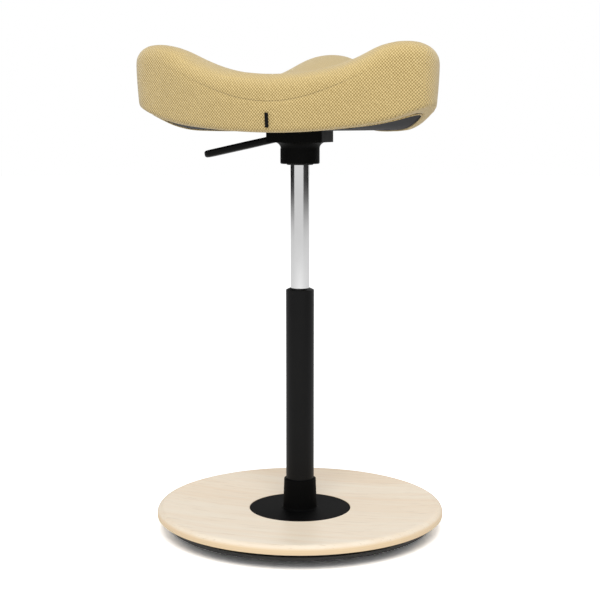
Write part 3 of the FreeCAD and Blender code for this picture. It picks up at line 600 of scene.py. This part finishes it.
weave_group.links.new(raised.outputs[0], put.inputs["Height"])

cloth_finish = bpy.data.materials.new("straw_wool")
cloth_finish.use_nodes = True
tree = cloth_finish.node_tree
shader = tree.nodes["Principled BSDF"]
place = tree.nodes.new("ShaderNodeTexCoord")
weave = join(tree, "ShaderNodeGroup", node_tree=weave_group)
tree.links.new(place.outputs["Object"], weave.inputs["Vector"])
tree.links.new(place.outputs["Normal"], weave.inputs["Normal"])
# Yarn is the cloth's own colour; the gap colour is painted shade between the yarns.
weave.inputs["Yarn"].default_value = (0.81, 0.625, 0.295, 1)
weave.inputs["Shaded gap"].default_value = (0.33, 0.22, 0.068, 1)
distance = join(tree, "ShaderNodeAttribute", attribute_name="from_seam")
strength = join(tree, "ShaderNodeAttribute", attribute_name="seam_share")
away = join(tree, "ShaderNodeMath", (0, distance.outputs["Fac"]), operation="ABSOLUTE")
line = join(tree, "ShaderNodeMapRange", ("Value", away.outputs[0]), ("From Min", 0.0010),
            ("From Max", 0.0003), interpolation_type="SMOOTHSTEP")
seam_mask = join(tree, "ShaderNodeMath", (0, line.outputs[0]), (1, strength.outputs["Fac"]),
                 operation="MULTIPLY")
# Painted shade: the colour is darkened along the seam, as in the shade of its crease.
seam_shade_share = join(tree, "ShaderNodeMath", (0, seam_mask.outputs[0]), (1, 0.20), operation="MULTIPLY")
seam_shaded = join(tree, "ShaderNodeMix", ("Factor", seam_shade_share.outputs[0]), ("A", weave.outputs["Colour"]),
              ("B", (0.20, 0.135, 0.05, 1)), data_type="RGBA")
tree.links.new(seam_shaded.outputs["Result"], shader.inputs["Base Color"])
tree.links.new(weave.outputs["Roughness"], shader.inputs["Roughness"])
sunk = join(tree, "ShaderNodeMath", (0, seam_mask.outputs[0]), (1, -0.9), (2, weave.outputs["Height"]),
            operation="MULTIPLY_ADD")
bump = join(tree, "ShaderNodeBump", ("Height", sunk.outputs[0]), ("Distance", 0.0007))
tree.links.new(bump.outputs[0], shader.inputs["Normal"])
shader.inputs["Specular IOR Level"].default_value = 0.12
shader.inputs["Sheen Weight"].default_value = 0.7
shader.inputs["Sheen Roughness"].default_value = 0.45
shader.inputs["Sheen Tint"].default_value = (1.0, 0.95, 0.84, 1)
pad.data.materials.append(cloth_finish)
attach(pad, "lift")
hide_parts("seat_foam", "seat_cover")

# Hem: the cover's lower edge is rolled over a thin cord where it meets the under-shell.
# The cord follows the rim of the shell, a little outside and below it, once round the seat;
# the shell's inner rim, round the mechanism, and its screw holes are left out.
hem_radius = 0.0011
hem_step = 0.004
hem_out = 0.0007
hem_drop = 0.0008
mechanism_reach = 0.085
screw_hole_width = 0.02
rim_shape = bmesh.new()
rim_shape.from_mesh(nodes["under_shell"].data)
bmesh.ops.remove_doubles(rim_shape, verts=rim_shape.verts, dist=0.00002)
rim_shape.normal_update()
rim_links = {}
for edge in rim_shape.edges:
    facing = sorted(face.normal.z for face in edge.link_faces)
    if len(facing) == 2 and facing[0] < -0.8 and abs(facing[1]) < 0.3:
        for here, there in (edge.verts, reversed(edge.verts)):
            if min(math.hypot(*here.co.xy), math.hypot(*there.co.xy)) > mechanism_reach:
                rim_links.setdefault(here.index, []).append(there.index)
rim_places = {vertex.index: vertex.co.copy() for vertex in rim_shape.verts}
rim_shape.free()
start = max(rim_links, key=lambda index: rim_places[index].x)
first_angle = math.atan2(rim_places[start].y, rim_places[start].x)
rim = []
unseen = set(rim_links)
while unseen:
    run = [unseen.pop()]
    for index in run:
        joined = unseen.intersection(rim_links[index])
        unseen -= joined
        run += sorted(joined)
    places = [rim_places[index] for index in run]
    if max((place - places[0]).length for place in places) > screw_hole_width:
        rim += places
rim.sort(key=lambda place: (math.atan2(place.y, place.x) - first_angle) % math.tau)
kept = [rim[0]]
for place in rim[1:]:
    if (place - kept[-1]).length > hem_step:
        kept.append(place)
bpy.ops.object.select_all(action="DESELECT")
bpy.ops.mesh.primitive_circle_add(vertices=len(kept), radius=0.2)
hem = bpy.context.object
hem.name = "hem_cord"
centre_line = np.array([list(place) for place in kept])
for _ in range(2):
    centre_line = (centre_line + (np.roll(centre_line, 1, 0) + np.roll(centre_line, -1, 0)) / 2) / 2
along_rim = np.roll(centre_line, -1, 0) - np.roll(centre_line, 1, 0)
outward = np.stack([along_rim[:, 1], -along_rim[:, 0], 0 * along_rim[:, 0]], 1)
outward /= np.linalg.norm(outward, axis=1)[:, None]
outward *= np.sign((outward * centre_line).sum(1).mean())
place_vertices(hem.data, centre_line + outward * hem_out - np.array([0, 0, hem_drop]))
bpy.ops.object.convert(target="CURVE")
hem = bpy.context.object
hem.data.bevel_depth = hem_radius
hem.data.bevel_resolution = 3
bpy.ops.object.convert(target="MESH")
hem = bpy.context.object
hem.name = "hem_cord"
bpy.ops.object.shade_smooth()
hem.data.materials.clear()
hem.data.materials.append(cloth_finish)
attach(hem, "lift")

# Tag: a short folded loop of black woven tape, sewn upright at the middle of the back and
# open at both ends, where its two layers show. It leans with the seat's wall.
tape = grained("black_tape", (0.004, 0.004, 0.004), (0.009, 0.009, 0.009), 0.85, 0.1, 0.0004, 0.00008,
               Specular_IOR_Level=0.1)
tag_low, tag_high = (Vector(corner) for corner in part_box("label_tag"))
tag_size = tag_high - tag_low
tag_depth = 0.0032
tag_fold = 0.0017
tag_sunk = 0.0009
slab_thickness = 0.0012
tape_thickness = 0.0006
bpy.ops.object.select_all(action="DESELECT")
bpy.ops.mesh.primitive_cube_add(size=1.0)
tag = bpy.context.object
tag.name = "tag_loop"
bpy.ops.transform.resize(value=(tag_size.x, tag_depth, tag_size.z))
bpy.ops.object.transform_apply(scale=True)
bpy.ops.object.mode_set(mode="EDIT")
bpy.ops.mesh.select_mode(type="EDGE")
bpy.ops.mesh.select_all(action="DESELECT")
bpy.ops.object.mode_set(mode="OBJECT")
for edge in tag.data.edges:
    ends = [tag.data.vertices[i].co for i in edge.vertices]
    edge.select = all(end.y < 0 for end in ends) and abs(ends[0].z - ends[1].z) > 0.01
bpy.ops.object.mode_set(mode="EDIT")
bpy.ops.mesh.bevel(offset=tag_fold, segments=8, affect="EDGES")
bpy.ops.mesh.select_mode(type="FACE")
bpy.ops.mesh.select_all(action="DESELECT")
bpy.ops.object.mode_set(mode="OBJECT")
for end in tag.data.polygons:
    end.select = abs(end.normal.z) > 0.9
bpy.ops.object.mode_set(mode="EDIT")
bpy.ops.mesh.inset(thickness=tape_thickness)
bpy.ops.transform.resize(value=(1.0, 1.0, 0.88))
bpy.ops.mesh.select_all(action="SELECT")
bpy.ops.mesh.normals_make_consistent(inside=False)
bpy.ops.object.mode_set(mode="OBJECT")
bpy.ops.object.shade_smooth_by_angle(angle=math.radians(35))
places = positions(tag.data)
lean = (tag_size.y - slab_thickness) / tag_size.z
places[:, 1] -= lean * places[:, 2]
places += np.array([(tag_low.x + tag_high.x) / 2, (tag_low.y + tag_high.y) / 2 - tag_sunk,
                    (tag_low.z + tag_high.z) / 2])
place_vertices(tag.data, places)
tag.data.materials.append(tape)
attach(tag, "lift")
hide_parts("label_tag")
